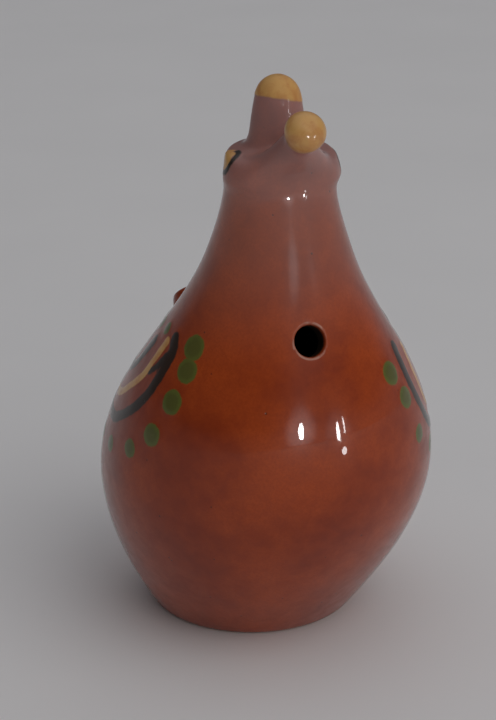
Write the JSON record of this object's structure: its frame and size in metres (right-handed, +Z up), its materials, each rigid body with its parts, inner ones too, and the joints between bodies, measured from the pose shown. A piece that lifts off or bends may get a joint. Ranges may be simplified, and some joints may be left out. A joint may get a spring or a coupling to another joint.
{
  "type": "bird whistle",
  "caption": "Hollow glazed earthenware whistle in the form of an upright bird, with the mouthpiece in its tail, a finger hole in its chest, a knob beak and a crest.",
  "frame": {"origin": "centre of the flat foot, on the surface it stands on", "axes": "+Z up from the foot to the crest, -Y towards the beak and the finger hole, +Y towards the tail, +X to the bird's left"},
  "size_m": [0.0628, 0.0729, 0.1076],
  "materials": {
    "glazed_earthenware": "red-brown lead-type gloss glaze with green dots, black and ochre strokes and ochre tips"
  },
  "bodies": {
    "root": {"whistle_body": "glazed_earthenware"}
  },
  "joints": []
}
